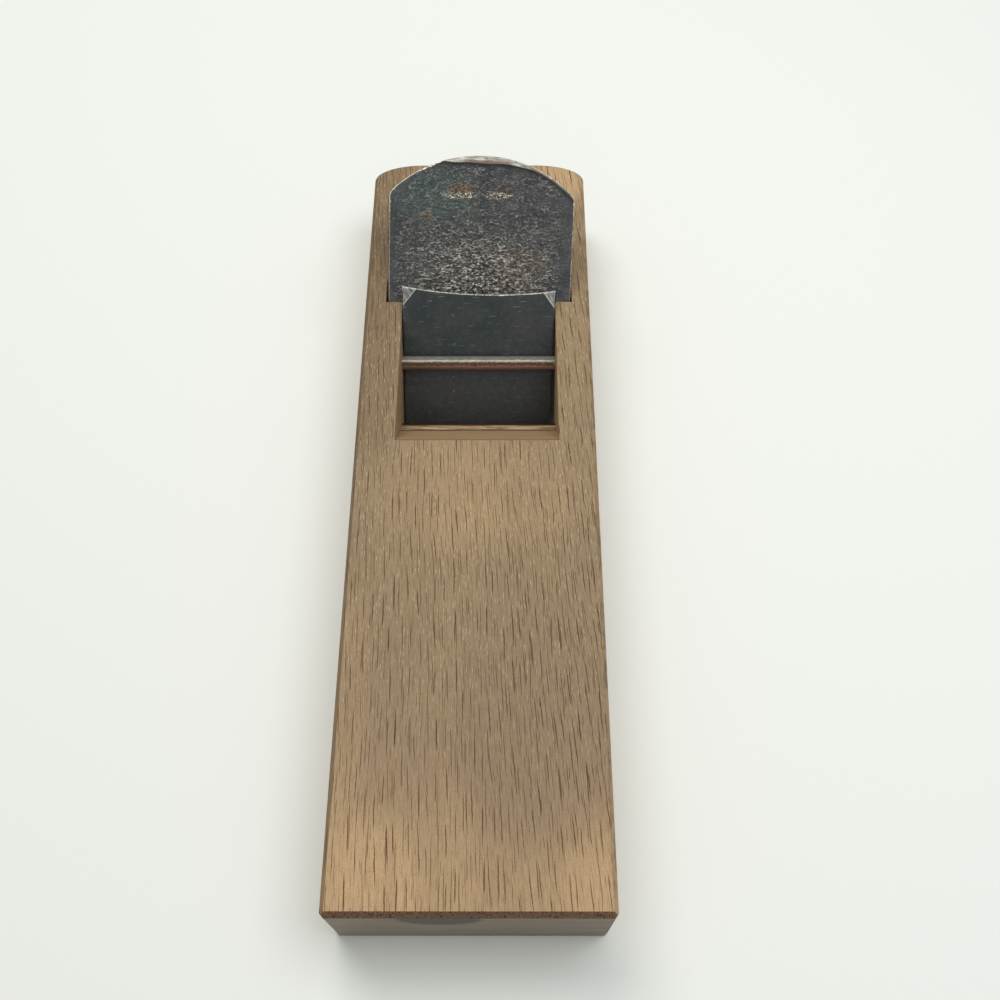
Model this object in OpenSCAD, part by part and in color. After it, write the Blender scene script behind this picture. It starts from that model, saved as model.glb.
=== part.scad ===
// A pull-stroke hand plane with an oak block, a thick wedge-shaped blade, a
// chipbreaker on the blade's face, and a steel cross pin that bears on it.
// X runs across the block, +Y towards its head end, +Z up.
// The origin is the middle of the sole.

/* [Block] */
// Width of the block
block_w = 80; // [76:0.5:100]
// Length of the block
block_l = 277; // [250:1:320]
// Height of the block
block_h = 36; // [33:0.5:42]
// Chamfer along the two long top edges
side_arris = 1.2; // [0.4:0.1:3]
// Chamfer across the top of the near end
front_arris = 1.5; // [0.5:0.1:4]
// Chamfer down the upright corners of the near end
corner_arris = 1.2; // [0.4:0.1:3]
// Chamfer round the sole
sole_arris = 0.6; // [0.2:0.1:1.5]
// Chamfer at the middle of the head end, where the mallet strikes
head_chamfer = 2.4; // [1:0.1:5]
// How far the rounding of the head end reaches in from each side
head_round_w = 18; // [10:0.5:30]
// How much more the head end is cut back at its corners than at its middle
head_round_l = 8.5; // [3:0.5:14]

/* [Throat and bed] */
// Sideways place of the throat, which was cut by hand
throat_x = 0.5; // [-1.5:0.1:1.5]
// Slope of the bed that the blade lies on
bed_angle = 40; // [37:0.5:44]
// Distance of the cutting line from the middle of the sole
edge_y = 29.2; // [15:0.2:45]
// Width of the mouth and of the throat above it
mouth_w = 54.4; // [50:0.2:58]
// Gap of the mouth in front of the cutting line
mouth_gap = 1; // [0.4:0.1:2.5]
// Height of the upright wall in front of the mouth
lip_h = 16.4; // [8:0.2:19]
// How far that wall leans over towards the blade
lip_lean = 1.8; // [0:0.1:2.4]
// Length of the short slope above the wall
lip_l = 8.2; // [4:0.2:12]
// Slope of that short slope
lip_slope = 40; // [30:1:46]
// Slope of the long front wall of the throat
throat_slope = 48; // [40:1:60]

/* [Blade] */
// Width of the blade along its straight upper part
blade_w = 64.9; // [64:0.1:70]
// Width of the blade at its cutting end
blade_edge_w = 62.8; // [60:0.1:64]
// Length of the lower part, which narrows towards the cutting end
narrow_l = 56; // [40:1:70]
// Length of the blade along its face
blade_l = 103.4; // [92:0.2:115]
// Thickness that the blade's back would reach at the cutting end
blade_t = 4.5; // [3.5:0.1:6]
// Taper of the thickness, which wedges the blade into its grooves
blade_taper = 2; // [1:0.1:3]
// Angle between the face and the bevel
bevel_angle = 28; // [24:0.5:32]
// Radius of the domed head
crown_r = 46.5; // [40:0.5:70]
// Radius of the two shoulders beside the dome
shoulder_r = 4; // [1:0.5:8]
// Bevel across the top of the dome
crown_bevel = 1.9; // [0.5:0.1:4]
// Angle that the blade is tapped over, its edge being ground to suit
cant = 1.8; // [0:0.1:2.5]
// Sideways place of the middle of the cutting end in the throat
blade_shift = -1.5; // [-2:0.1:2]
// Length of the ground-off corners beside the cutting edge
corner_l = 9; // [4:0.5:14]
// Length of the steel layer welded to the face
blade_steel_l = 50; // [40:1:70]
// Thickness of that steel layer
blade_steel_t = 1.9; // [1:0.1:2.5]
// Depth of the hollow ground in the steel
hollow_depth = 0.3; // [0.1:0.05:0.6]
// Diameter of that hollow
hollow_d = 42; // [24:1:44]
// Width of the sloping rim of that hollow
hollow_rim = 6; // [2:0.5:10]
// Distance of the hollow from the cutting edge
hollow_up = 4; // [2.5:0.5:6]
// Height of the cutting edge above the sole while the plane is put away
edge_lift = 0.25; // [0:0.05:0.6]

/* [Chipbreaker] */
// Length of the chipbreaker at its middle
breaker_l = 55.1; // [48:0.1:62]
// Thickness of its plate at the top
breaker_t = 3.8; // [3:0.1:5]
// Thickness where its long front bevel starts
breaker_nose_t = 1.9; // [1.4:0.1:2.6]
// Distance of its nose from the cutting edge
breaker_set = 1; // [0.8:0.1:2]
// Depth of the dip in its top edge
breaker_dip = 2; // [0.4:0.1:3]
// Height of the two bent ears that press on the blade
ear_drop = 1.2; // [0.6:0.1:1.8]
// Width of each ear along the top edge
ear_w = 4.9; // [2:0.1:6]
// Length of each ear down the side
ear_l = 8; // [4:0.1:10]
// Angle at which the sides of the ears spread outwards above the block
ear_spread = 11; // [0:1:20]
// Length of the steel layer on its underside
breaker_steel_l = 22; // [12:1:34]
// Thickness of that steel layer
breaker_steel_t = 0.8; // [0.5:0.05:1]

/* [Cross pin] */
// Diameter of the pin
pin_d = 4.8; // [4:0.1:6]
// Distance of the pin up the blade from the cutting edge
pin_up = 32.1; // [24:0.1:38]
// Depth of the pin's ends inside the sides of the block
pin_recess = 0.6; // [0:0.1:2]

/* [Fits] */
// Gap between the blade's back and the bed
bed_gap = 0.02; // [0.01:0.01:0.1]
// Gap between the blade's face and the upper side of its grooves
groove_gap = 0.1; // [0.05:0.01:0.3]
// Gap at the ends of the grooves, at their tightest
groove_end_gap = 0.25; // [0.1:0.05:0.6]
// Gap between the chipbreaker and the blade's face
breaker_gap = 0.02; // [0.01:0.01:0.1]
// Gap between the chipbreaker and each side of the throat
breaker_side_gap = 0.3; // [0.1:0.05:0.6]
// Gap between the pin and the chipbreaker
pin_gap = 0.1; // [0.09:0.01:0.3]
// Gap round the pin in the block
pin_bore_gap = 0.02; // [0.01:0.01:0.05]

/* [Hidden] */
$fn = 96;

// Oversize that carries a cut clear through a face
over = 5;
// Steps in each rounded corner of the block's head end
head_steps = 10;
// Steps in each shoulder of the blade
shoulder_steps = 4;
// Steps in each half of the blade's dome
crown_steps = 10;
// Facets of the wide dip in the chipbreaker's top edge
dip_facets = 360;
// Length of the blade's steel layer's feathered end, over its thickness
feather = 3;
// Height of the pin's chamfered ends
pin_chamfer = 0.4;
// Angle of the chipbreaker's steep front bevel
nose_angle = 55;
// Height of that steep bevel
nose_h = 0.6;
// Length of its long front bevel
nose_l = 4;
// Flat of its underside behind the nose, which lies on the blade
nose_flat = 1.5;
// How far the foot of an ear reaches up into the plate
ear_root = 1.3;
// Distance from the block's top up to where the ears spread, which keeps
// them clear of the block when the blade and the chipbreaker are tapped down
ear_clearance = 1.4;

// The blade's face is steeper than the bed by the blade's taper.
face_angle = bed_angle + blade_taper;
edge_rest_y = edge_y + edge_lift / tan(bed_angle);
face_at_top = (block_h - edge_lift) / sin(face_angle);

// Half width of the blade at a distance up its face
function blade_half(up) = (blade_w - (blade_w - blade_edge_w) * max(0, 1 - up / narrow_l)) / 2;

// The grooves hold the canted blade all the way down to the sole.
left_reach = blade_half(0) - blade_shift;
right_reach = blade_half(face_at_top) + blade_shift + face_at_top * tan(cant);
groove_w = 2 * (max(left_reach, right_reach) + groove_end_gap);

// Depth of the blade's back below its face at a distance up the face
function back_at(up) = -(blade_t + up * tan(blade_taper));

// Front wall of the throat, from the mouth up: wall, short slope, long slope
mouth_front = edge_y - mouth_gap;
lip = [mouth_front + lip_lean, lip_h];
knee = lip + lip_l * [-cos(lip_slope), sin(lip_slope)];
rim_y = knee[0] - (block_h - knee[1]) / tan(throat_slope);

// Chipbreaker, measured from the cutting edge up the face
breaker_w = mouth_w - 2 * breaker_side_gap;
breaker_top = breaker_set + breaker_l + breaker_dip;
breaker_dip_r = (pow(breaker_w / 2, 2) + pow(breaker_dip, 2)) / (2 * breaker_dip);
nose_top = breaker_set + nose_h / tan(nose_angle);
plate_start = nose_top + nose_l;
plate_rise = atan((ear_drop + breaker_t - breaker_nose_t) / (breaker_top - plate_start));

// Height of the chipbreaker's upper surface over the blade's face
function breaker_front(up) = breaker_nose_t + (up - plate_start) * tan(plate_rise);

ears_free = face_at_top + ear_clearance;

pin_out = breaker_front(pin_up) + (pin_d / 2 + pin_gap) / cos(plate_rise);

// Points of an arc about a centre, from one angle to another
function arc(centre, r, start, end, steps) = [
    for (step = [0 : steps])
        let (turn = start + (end - start) * step / steps)
            centre + r * [cos(turn), sin(turn)]
];

// Places its children in the blade's own frame: Y up the face, Z out of it.
module on_face() {
    translate([throat_x, edge_rest_y, edge_lift])
        rotate([face_angle, 0, 0])
            children();
}

// Turns its children as the blade and the chipbreaker were tapped over.
module tapped_over() {
    translate([blade_shift, 0, 0])
        rotate([0, 0, -cant])
            children();
}

// Extrudes a side outline across the width.
module across(width) {
    rotate([90, 0, 90])
        linear_extrude(height = width, center = true)
            children();
}

// A square outline with its corners cut off, lower pair and upper pair
module chamfered_outline(size, low, high) {
    half = size[0] / 2;
    polygon([
        [-half + low, 0], [half - low, 0], [half, low], [half, size[1] - high],
        [half - high, size[1]], [-half + high, size[1]], [-half, size[1] - high], [-half, low]
    ]);
}

// One quarter of the head end's rounding, as x and setback of each point
function head_curve(side) = [
    for (step = [0 : head_steps])
        let (turn = 90 * step / head_steps)
            [
                side * (block_w / 2 - head_round_w * (1 - sin(turn))),
                head_round_l * (1 - cos(turn))
            ]
];

// The head end is cut back by one curved chamfer that faces up and outwards,
// so it bites deepest at the two corners.
module head_trim() {
    slant = 45;
    tip = (block_l / 2 - head_chamfer + block_h) * cos(slant);
    right = head_curve(1);
    left = head_curve(-1);
    reach = block_l + block_h;
    rotate([slant, 0, 0])
        linear_extrude(height = 2 * reach, center = true)
            polygon(concat(
                [[-block_w / 2, -reach]],
                [for (step = [head_steps : -1 : 0]) [left[step][0], tip - left[step][1] * cos(slant)]],
                [for (step = [0 : head_steps]) [right[step][0], tip - right[step][1] * cos(slant)]],
                [[block_w / 2, -reach]]
            ));
}

// The squared oak block, before the throat is cut
module blank() {
    intersection() {
        rotate([90, 0, 0])
            linear_extrude(height = block_l, center = true)
                chamfered_outline([block_w, block_h], sole_arris, side_arris);
        across(block_w)
            polygon([
                [-block_l / 2 + sole_arris, 0], [block_l / 2 - sole_arris, 0],
                [block_l / 2, sole_arris], [block_l / 2, block_h],
                [-block_l / 2 + front_arris, block_h], [-block_l / 2, block_h - front_arris],
                [-block_l / 2, sole_arris]
            ]);
        translate([0, -block_l / 2, 0])
            linear_extrude(height = block_h)
                chamfered_outline([block_w, block_l], corner_arris, corner_arris);
        head_trim();
    }
}

// The open throat in front of the blade
module throat() {
    lean = lip_lean / lip_h;
    translate([throat_x, 0, 0])
        across(mouth_w)
            polygon([
                [mouth_front - over * lean, -over], lip, knee,
                [rim_y - over / tan(throat_slope), block_h + over],
                [edge_rest_y + (block_h + over - edge_lift) / tan(face_angle), block_h + over],
                [edge_rest_y - (over + edge_lift) / tan(face_angle), -over]
            ]);
}

// The slot of the blade: the bed below, the two grooves at the sides
module blade_slot() {
    low = -4 * over;
    high = face_at_top + 4 * over;
    drop = bed_gap / cos(blade_taper);
    on_face()
        across(groove_w)
            polygon([
                [low, groove_gap], [high, groove_gap],
                [high, back_at(high) - drop], [low, back_at(low) - drop]
            ]);
}

// Places its children on the pin's axis, with Z along it, midway between the sides.
module on_pin_axis() {
    translate([-throat_x, 0, 0])
        on_face()
            translate([0, pin_up, pin_out])
                rotate([0, 90, 0])
                    children();
}

module block() {
    color("#c79a63")
        difference() {
            blank();
            throat();
            blade_slot();
            on_pin_axis()
                cylinder(r = pin_d / 2 + pin_bore_gap, h = block_w + 2 * over, center = true);
        }
}

// Right half of the blade's outline, from its foot up to the top of the dome
function blade_right(foot) =
    let (
        corner_x = blade_w / 2 - shoulder_r,
        rise = sqrt(pow(crown_r - shoulder_r, 2) - pow(corner_x, 2)),
        turn = atan2(rise, corner_x),
        crown = arc([0, blade_l - crown_r], crown_r, turn, 90, crown_steps)
    )
    concat(
        [[blade_half(foot), foot], [blade_half(narrow_l), narrow_l]],
        arc([corner_x, blade_l - crown_r + rise], shoulder_r, 0, turn, shoulder_steps),
        [for (step = [1 : crown_steps]) crown[step]]
    );

// Outline of the blade seen square to its face, tapped over about its cutting end
module blade_outline() {
    foot = -2 * over;
    depth = 2 * (blade_t + blade_l * tan(blade_taper)) + 2 * over;
    right = blade_right(foot);
    left = [for (step = [len(right) - 2 : -1 : 0]) [-right[step][0], right[step][1]]];
    tapped_over()
        intersection() {
            linear_extrude(height = depth, center = true)
                polygon(concat(right, left));
            across(2 * blade_w)
                polygon([
                    [foot, over], [blade_l - crown_bevel - over, over],
                    [blade_l + over, -crown_bevel - over], [blade_l + over, -depth], [foot, -depth]
                ]);
        }
}

// Side of the blade: face on top, tapered back, bevel to the edge
module blade_side() {
    bevel_up = blade_t / (tan(bevel_angle) - tan(blade_taper));
    high = blade_l + 2 * over;
    across(2 * blade_w)
        polygon([[0, 0], [high, 0], [high, back_at(high)], [bevel_up, back_at(bevel_up)]]);
}

// Both corners beside the edge are ground off, so that it is as wide as the mouth.
module corner_limit() {
    depth = 4 * blade_t + 2 * over;
    wide = blade_w + 2 * over;
    slope = (blade_half(corner_l) - mouth_w / 2) / corner_l;
    linear_extrude(height = depth, center = true)
        polygon([
            [-mouth_w / 2, 0], [mouth_w / 2, 0],
            [wide / 2, (wide - mouth_w) / 2 / slope], [wide / 2, 2 * blade_l],
            [-wide / 2, 2 * blade_l], [-wide / 2, (wide - mouth_w) / 2 / slope]
        ]);
}

module blade_whole() {
    intersection() {
        blade_side();
        blade_outline();
        corner_limit();
    }
}

// The part of the blade taken by the steel layer, feathered at its upper end
module blade_steel_zone() {
    across(2 * blade_w)
        polygon([
            [-over, over], [blade_steel_l, over], [blade_steel_l, 0],
            [blade_steel_l - feather * blade_steel_t, -blade_steel_t], [-over, -blade_steel_t]
        ]);
}

module blade_iron() {
    color("#3b4046")
        on_face()
            difference() {
                blade_whole();
                blade_steel_zone();
            }
}

// The shallow hollow that is ground in the face, so that only a rim is honed
module hollow() {
    r = hollow_d / 2;
    translate([blade_shift, hollow_up + r, 0])
        rotate_extrude()
            polygon([[0, -hollow_depth], [r - hollow_rim, -hollow_depth], [r, 0], [r, over], [0, over]]);
}

module blade_steel() {
    color("#8f959b")
        on_face()
            difference() {
                intersection() {
                    blade_whole();
                    blade_steel_zone();
                }
                hollow();
            }
}

// Side of the chipbreaker: two front bevels, plate, underside eased off the blade
module breaker_side() {
    high = breaker_top + over;
    low = breaker_gap;
    back = ear_drop / (breaker_top - breaker_set - nose_flat);
    across(2 * breaker_w)
        polygon([
            [breaker_set, low], [nose_top, low + nose_h], [plate_start, breaker_front(plate_start)],
            [high, breaker_front(high)],
            [high, low + back * (high - breaker_set - nose_flat)], [breaker_set + nose_flat, low]
        ]);
}

// Sides of the chipbreaker, which spread where they are clear of the block
module breaker_strip() {
    half = breaker_w / 2;
    tall = 4 * over;
    wide = half + tall * tan(ear_spread);
    linear_extrude(height = 2 * tall, center = true)
        polygon([
            [-half, -over], [half, -over], [half, ears_free], [wide, ears_free + tall],
            [-wide, ears_free + tall], [-half, ears_free]
        ]);
}

// Cuts the sloping front of an ear at the upper right corner.
module ear_front() {
    run = atan2(ear_l, ear_w);
    depth = ear_w * sin(run);
    big = 8 * over;
    translate([breaker_w / 2 - ear_w, breaker_top, breaker_front(breaker_top)])
        rotate([0, 0, -run])
            rotate([-atan(ear_drop / depth), 0, 0])
                translate([-big, 0, 0])
                    cube([2 * big, big, big]);
}

// The foot of an ear, which bridges the gap down to the blade
module ear_foot() {
    half = breaker_w / 2;
    translate([0, 0, breaker_gap])
        linear_extrude(height = ear_drop + ear_root)
            polygon([
                [half - ear_w, breaker_top + over], [half - ear_w, breaker_top],
                [half + ear_w, breaker_top - 2 * ear_l], [half + ear_w, breaker_top + over]
            ]);
}

// The outline is tapped over with the blade, and still fits between the throat's sides.
module breaker_whole() {
    difference() {
        intersection() {
            union() {
                breaker_side();
                tapped_over()
                    for (side = [0, 1])
                        mirror([side, 0, 0])
                            ear_foot();
            }
            breaker_strip();
            tapped_over()
                breaker_strip();
        }
        tapped_over() {
            for (side = [0, 1])
                mirror([side, 0, 0])
                    ear_front();
            translate([0, breaker_top - breaker_dip + breaker_dip_r, 0])
                cylinder(r = breaker_dip_r, h = 8 * over, center = true, $fn = dip_facets);
            translate([-breaker_w, breaker_top, -over])
                cube([2 * breaker_w, 2 * over, 4 * over]);
        }
    }
}

// The part of the chipbreaker taken by its steel layer
module breaker_steel_zone() {
    upper = breaker_gap + breaker_steel_t;
    across(2 * breaker_w)
        polygon([
            [-over, -over], [breaker_set + breaker_steel_l + over, -over],
            [breaker_set + breaker_steel_l, upper], [-over, upper]
        ]);
}

module chipbreaker_iron() {
    color("#31363d")
        on_face()
            difference() {
                breaker_whole();
                breaker_steel_zone();
            }
}

module chipbreaker_steel() {
    color("#9aa0a5")
        on_face()
            intersection() {
                breaker_whole();
                breaker_steel_zone();
            }
}

// A plain steel rod driven through both cheeks of the block
module cross_pin() {
    half = block_w / 2 - pin_recess;
    r = pin_d / 2;
    color("#8d8a84")
        on_pin_axis()
            rotate_extrude()
                polygon([
                    [0, -half], [r - pin_chamfer, -half], [r, -half + pin_chamfer],
                    [r, half - pin_chamfer], [r - pin_chamfer, half], [0, half]
                ]);
}

block();
blade_iron();
blade_steel();
chipbreaker_iron();
chipbreaker_steel();
cross_pin();
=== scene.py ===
from math import cos, pi, radians, sin, tan
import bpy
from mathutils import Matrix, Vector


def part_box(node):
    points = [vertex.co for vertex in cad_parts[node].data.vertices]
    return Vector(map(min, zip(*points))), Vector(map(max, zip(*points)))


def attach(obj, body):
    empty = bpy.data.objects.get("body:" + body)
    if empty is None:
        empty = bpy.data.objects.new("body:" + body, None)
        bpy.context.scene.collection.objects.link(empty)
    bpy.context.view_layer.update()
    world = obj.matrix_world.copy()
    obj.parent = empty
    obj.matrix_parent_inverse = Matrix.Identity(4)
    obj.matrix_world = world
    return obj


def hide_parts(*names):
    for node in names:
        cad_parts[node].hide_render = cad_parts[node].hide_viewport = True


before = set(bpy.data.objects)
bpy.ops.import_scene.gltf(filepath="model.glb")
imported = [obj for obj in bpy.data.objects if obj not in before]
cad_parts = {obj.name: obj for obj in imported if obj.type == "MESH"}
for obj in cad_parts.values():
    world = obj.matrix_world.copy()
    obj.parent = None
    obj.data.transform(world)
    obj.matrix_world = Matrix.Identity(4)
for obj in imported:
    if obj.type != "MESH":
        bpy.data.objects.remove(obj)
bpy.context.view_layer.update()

from types import SimpleNamespace

import bmesh
import bpy
import numpy as np
from mathutils import Matrix, Vector, noise

scene = bpy.context.scene


# The bench: a pale matt floor under plain soft light, and the eye where the
# photograph was taken from, near the plane's near end and looking down at it.
def maths(operation):
    """A method of Wire that adds a Math node with this operation."""
    return lambda *values: values[0].finish.node("Math", {"operation": operation}, dict(enumerate(values)))


class Wire:
    """A socket, wrapped so that shader maths reads as Python expressions."""

    def __init__(self, finish, socket):
        self.finish = finish
        self.socket = socket

    def also(self, output):
        """Another output of the same node."""
        return Wire(self.finish, self.socket.node.outputs[output])

    def __rsub__(self, other):
        return self.finish.node("Math", {"operation": "SUBTRACT"}, {0: other, 1: self})

    def __floordiv__(self, other):
        return (self / other).floored()

    __add__ = __radd__ = maths("ADD")
    __mul__ = __rmul__ = maths("MULTIPLY")
    __sub__ = maths("SUBTRACT")
    __truediv__ = maths("DIVIDE")
    __mod__ = maths("FLOORED_MODULO")
    __abs__ = maths("ABSOLUTE")
    floored = maths("FLOOR")


class Finish:
    """A material or the surroundings; node() adds one node of any type to it."""

    def __init__(self, owner):
        owner.use_nodes = True
        self.owner = owner
        self.tree = owner.node_tree
        self.tree.nodes.clear()

    def node(self, kind, settings=None, inputs=None, output=0):
        made = self.tree.nodes.new("ShaderNode" + kind)
        for name, value in (settings or {}).items():
            setattr(made, name, value)
        for name, value in (inputs or {}).items():
            if isinstance(value, Wire):
                self.tree.links.new(value.socket, made.inputs[name])
            else:
                made.inputs[name].default_value = value
        return Wire(self, made.outputs[output]) if made.outputs else None


def material(name):
    return Finish(bpy.data.materials.new(name))


def step(value, low, high):
    """Rises smoothly from 0 at low to 1 at high, or falls where low is larger."""
    return value.finish.node(
        "MapRange",
        {"interpolation_type": "SMOOTHSTEP"},
        {"Value": value, "From Min": low, "From Max": high},
    )


def shade(red, green, blue):
    """A colour as the eye reads it, from 0 to 255, turned into amounts of light."""
    levels = [value / 255 for value in (red, green, blue)]
    return tuple(v / 12.92 if v < 0.04045 else ((v + 0.055) / 1.055) ** 2.4 for v in levels) + (1.0,)


def put_in_scene(name, data):
    thing = bpy.data.objects.new(name, data)
    scene.collection.objects.link(thing)
    return thing


def soft_lamp(name, place, size, power, colour):
    """A round soft lamp, aimed at the middle of the bench."""
    lamp = put_in_scene(name, bpy.data.lights.new(name, "AREA"))
    lamp.data.shape = "DISK"
    lamp.data.size = size
    lamp.data.energy = power
    lamp.data.color = colour
    lamp.location = place
    lamp.rotation_euler = (-Vector(place)).to_track_quat("-Z", "Y").to_euler()


def seen_by_eye(finish):
    """1 where the eye sees a thing, straight or mirrored, and 0 where it only gives light."""
    ray = finish.node("LightPath", output="Is Camera Ray")
    return ray + ray.also("Is Glossy Ray") + ray.also("Is Transmission Ray")


eye_place = Vector((0.0092, -0.1815, 0.3415))
eye_tilt = radians(90 - 60.98)  # from straight down
eye_turn = radians(0.35)
eye_roll = radians(-0.32)
eye = put_in_scene("eye", bpy.data.cameras.new("eye"))
eye.data.lens = 39.16
eye.data.clip_start = 0.01
eye.matrix_world = (
    Matrix.Translation(eye_place)
    @ Matrix.Rotation(eye_turn, 4, "Z")
    @ Matrix.Rotation(eye_tilt, 4, "X")
    @ Matrix.Rotation(eye_roll, 4, "Z")
)
scene.camera = eye
scene.view_settings.view_transform = "Standard"

soft_lamp("lamp_behind", place=(-0.3, 0.6, 1.2), size=0.85, power=7.0, colour=(1.0, 0.985, 0.96))
soft_lamp("lamp_right", place=(0.3, 0, 0.9), size=0.6, power=3.06, colour=(0.98, 0.99, 1.0))

room_light = 0.35  # the light that the room sends to the plane
room_seen = 0.9  # how bright the eye finds the room
room_white = shade(250, 253, 251)
scene.world = bpy.data.worlds.new("room")
room = Finish(scene.world)
strength = room_light + seen_by_eye(room) * (room_seen - room_light)
backdrop = room.node("Background", inputs={"Color": room_white, "Strength": strength})
room.node("OutputWorld", inputs={"Surface": backdrop})

floor_white = shade(250, 252, 247)
floor_reach = 3.0
floor_drop = 0.00005  # just under the sole
fade_near, fade_far = 0.3, 1.0  # where the floor begins and ends to melt into the room
corners = ((-1, -1), (1, -1), (1, 1), (-1, 1))
floor_mesh = bpy.data.meshes.new("floor")
floor_mesh.from_pydata(
    [(x * floor_reach, y * floor_reach, -floor_drop) for x, y in corners], [], [(0, 1, 2, 3)]
)
floor = put_in_scene("floor", floor_mesh)
matt = material("pale_floor")
matt_card = matt.node("BsdfDiffuse", inputs={"Color": floor_white})
far_card = matt.node("Emission", inputs={"Color": room_white, "Strength": room_seen})
floor_place = matt.node("TexCoord", output="Object")
from_middle = matt.node("VectorMath", {"operation": "LENGTH"}, {0: floor_place}, "Value")
far = step(from_middle, fade_near, fade_far)
floor_card = matt.node("MixShader", inputs={0: far * seen_by_eye(matt), 1: matt_card, 2: far_card})
matt.node("OutputMaterial", inputs={"Surface": floor_card})
floor_mesh.materials.append(matt.owner)


# The block (dai) is one squared piece of oak, planed by hand, with its arrises
# eased by use. The throat, bed, grooves and mouth are chiselled and sawn in it.

# Its shape is in metres, and the places in its finish are in millimetres.
mm = 0.001
block_low, block_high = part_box("block")
arris_round = 0.5 * mm
throat_round = 0.18 * mm
throat_far = 85.0 * mm  # how far along the block the throat's straight rim reaches


def copy_of(node):
    """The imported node's shape as a mesh to work on, its faces joined up again."""
    same_place = 2e-6
    same_plane = radians(0.6)
    shape = bmesh.new()
    shape.from_mesh(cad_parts[node].data)
    bmesh.ops.remove_doubles(shape, verts=shape.verts, dist=same_place)
    bmesh.ops.dissolve_limit(shape, angle_limit=same_plane, verts=shape.verts, edges=shape.edges)
    return shape


def middle_of(edge):
    return (edge.verts[0].co + edge.verts[1].co) / 2


def is_sliver(edge):
    """A crease near an end that is too short to be rounded."""
    shortest_round, least_turn = 0.0006, 0.2
    near_end = abs(edge.verts[0].co.y) > block_high.y * 0.9
    return near_end and edge.calc_length() < shortest_round and edge.calc_face_angle(0) > least_turn


def on_outside(edge):
    """An outer arris of the block, or an edge of its rounded head end."""
    middle = middle_of(edge)
    outermost = max(abs(middle.x) / block_high.x, abs(middle.y) / block_high.y)
    on_head = middle.y > block_high.y * 0.93
    return edge.calc_face_angle(0) > radians(20) and (outermost > 0.96 or on_head)


def at_throat(edge):
    """An edge of the throat's rim, where it opens through the top."""
    middle = middle_of(edge)
    on_top = middle.z > block_high.z * 0.98
    return edge.calc_face_angle(0) > radians(30) and on_top and 0 < middle.y < throat_far


def ease_edges(shape, chosen, width, segments):
    bmesh.ops.bevel(
        shape,
        geom=[edge for edge in shape.edges if chosen(edge)],
        offset=width,
        offset_type="OFFSET",
        segments=segments,
        profile=0.5,
        affect="EDGES",
        clamp_overlap=True,
    )


def slice_across(shape, spacing):
    """Cuts the long faces into short lengths, so that wear can follow the arrises."""
    for number in range(1, int((block_high.y - block_low.y) / spacing)):
        bmesh.ops.bisect_plane(
            shape,
            geom=shape.verts[:] + shape.edges[:] + shape.faces[:],
            plane_co=(0, block_low.y + number * spacing, 0),
            plane_no=(0, 1, 0),
        )


def rub_arrises(shape, wear_depth):
    """Wears down the two long arrises of the top unevenly, inside the block's sides."""
    nearest, furthest = 0.00005, 0.0012
    coarse, fine = 140, 420  # waves to the metre
    for vert in shape.verts:
        from_side = block_high.x - abs(vert.co.x)
        from_top = block_high.z - vert.co.z
        if nearest < from_side < furthest and nearest < from_top < furthest:
            uneven = noise.noise(vert.co * coarse) * 0.6 + noise.noise(vert.co * fine) * 0.6
            rub = max(0.0, uneven + 0.1)
            vert.co.x -= (1 if vert.co.x > 0 else -1) * rub * wear_depth
            vert.co.z -= rub * wear_depth
        vert.co.x = min(max(vert.co.x, block_low.x), block_high.x)


def build_block():
    shape = copy_of("block")
    bmesh.ops.collapse(shape, edges=[edge for edge in shape.edges if is_sliver(edge)])
    ease_edges(shape, on_outside, arris_round, segments=3)
    ease_edges(shape, at_throat, throat_round, segments=2)
    slice_across(shape, spacing=0.0035)
    rub_arrises(shape, wear_depth=0.00022)
    mesh = bpy.data.meshes.new("oak_block")
    shape.to_mesh(mesh)
    shape.free()
    return mesh


def add_piece(mesh, body, finish, node):
    """Sets a finished mesh in the scene, under its own name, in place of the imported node."""
    crease = radians(40)
    mesh.materials.append(finish)
    piece = put_in_scene(mesh.name, mesh)
    mesh.shade_smooth()
    mesh.set_sharp_from_angle(angle=crease)
    piece.modifiers.new("flat_faces", "WEIGHTED_NORMAL").keep_sharp = True
    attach(piece, body)
    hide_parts(node)


def place_mm(finish):
    """The place on the piece, in millimetres, which moves with the piece."""
    at = finish.node("TexCoord", output="Object")
    return finish.node("VectorMath", {"operation": "SCALE"}, {0: at, "Scale": 1 / mm})


def parts_of(vector):
    across = vector.finish.node("SeparateXYZ", inputs={0: vector})
    return across, across.also("Y"), across.also("Z")


def joined(x, y, z):
    finish = next(value for value in (x, y, z) if isinstance(value, Wire)).finish
    return finish.node("CombineXYZ", inputs={0: x, 1: y, 2: z})


def cloud(place, size, detail=2.0, rough=0.5):
    """Soft noise from 0 to 1, with lumps of one size, or of a size along each axis."""
    sizes = size if isinstance(size, tuple) else (size, size, size)
    spread = place.finish.node("VectorMath", {"operation": "DIVIDE"}, {0: place, 1: sizes})
    return place.finish.node(
        "TexNoise", inputs={"Vector": spread, "Scale": 1.0, "Detail": detail, "Roughness": rough}
    )


def blend(mask, first, second):
    """The first colour where the mask is 0, the second where it is 1.

    Each is a Wire, or red, green and blue as the eye reads them, from 0 to 255.
    """
    first, second = (tone if isinstance(tone, Wire) else shade(*tone) for tone in (first, second))
    return mask.finish.node("Mix", {"data_type": "RGBA"}, {0: mask, 6: first, 7: second}, 2)


def tinted(tone, marks, low, high, strength, tint):
    """A tone drawn towards a tint, with this strength, as the marks go from low to high."""
    return blend(step(marks, low, high) * strength, tone, tint)


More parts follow.
